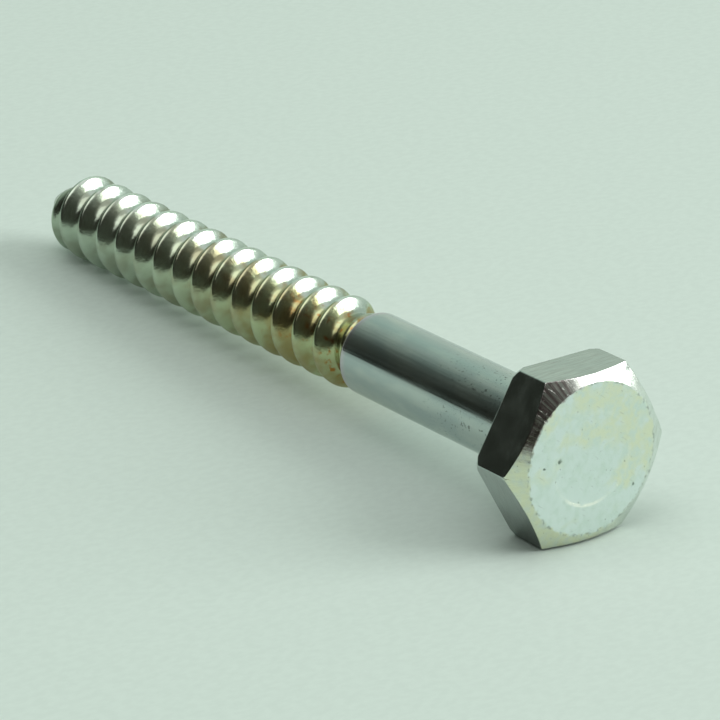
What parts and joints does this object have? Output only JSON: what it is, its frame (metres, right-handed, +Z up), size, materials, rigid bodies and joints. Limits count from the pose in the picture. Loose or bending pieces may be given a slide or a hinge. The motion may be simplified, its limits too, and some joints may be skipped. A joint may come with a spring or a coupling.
{
  "type": "coach screw",
  "caption": "Hexagon-head coach screw with a plain shank, a coarse wood thread and a blunt tapered point, lying on its side.",
  "frame": {"origin": "centre of the bearing face under the head, on the screw's axis", "axes": "+X towards the head and -X towards the tip, which dips 2.71 degrees below the horizontal; +Z up from the surface that the screw lies on; +Y across the screw"},
  "size_m": [0.0649, 0.0138, 0.0122],
  "materials": {
    "zinc_plated_steel": "bright zinc plate with a clear passivate, faintly yellow-green in patches, lightly scuffed"
  },
  "bodies": {
    "root": {"coach_screw": "zinc_plated_steel"}
  },
  "joints": []
}
